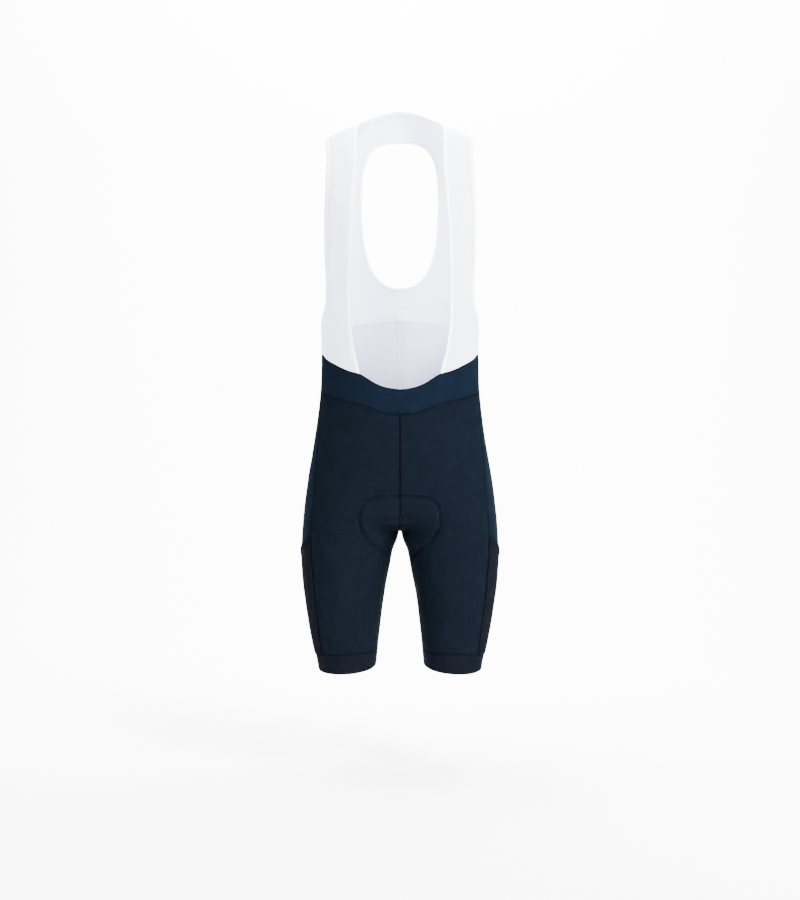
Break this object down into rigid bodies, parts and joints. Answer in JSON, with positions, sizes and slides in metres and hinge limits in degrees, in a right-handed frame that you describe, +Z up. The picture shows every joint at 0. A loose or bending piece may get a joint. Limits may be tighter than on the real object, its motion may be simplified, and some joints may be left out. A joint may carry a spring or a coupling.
{
  "type": "cycling bib shorts",
  "caption": "Navy cycling bib shorts with a white mesh bib, a waist yoke, thigh pockets and grip bands, filled out as if worn.",
  "frame": {"origin": "midway between the crests of the two shoulder straps, where the wearer carries the garment", "axes": "+Z up the body, -Y out of the wearer's front, +X to the wearer's left"},
  "size_m": [0.3294, 0.2282, 0.9322],
  "materials": {
    "shorts_knit": "matte",
    "thigh_knit": "matte",
    "pocket_knit": "matte",
    "grip_knit": "matte",
    "mesh_knit": "matte",
    "elastic_tape": "satin",
    "pad_fleece": "matte"
  },
  "bodies": {
    "root": {"front_leg_left": "thigh_knit", "front_leg_right": "thigh_knit", "back_leg_left": "thigh_knit", "back_leg_right": "thigh_knit", "side_panel_left": "shorts_knit", "side_panel_right": "shorts_knit", "leg_band_left": "grip_knit", "leg_band_right": "grip_knit", "thigh_pocket_left": "pocket_knit", "thigh_pocket_right": "pocket_knit", "thigh_pocket_hem_left": "pocket_knit", "thigh_pocket_hem_right": "pocket_knit", "bib_front_left": "mesh_knit", "bib_front_right": "mesh_knit", "armhole_tape_left": "elastic_tape", "armhole_tape_right": "elastic_tape", "front_yoke": "shorts_knit", "bib_back": "mesh_knit", "neck_tape": "elastic_tape", "oval_tape": "elastic_tape", "rear_pocket": "mesh_knit", "pocket_tab": "elastic_tape", "seat_pad": "pad_fleece"}
  },
  "joints": []
}
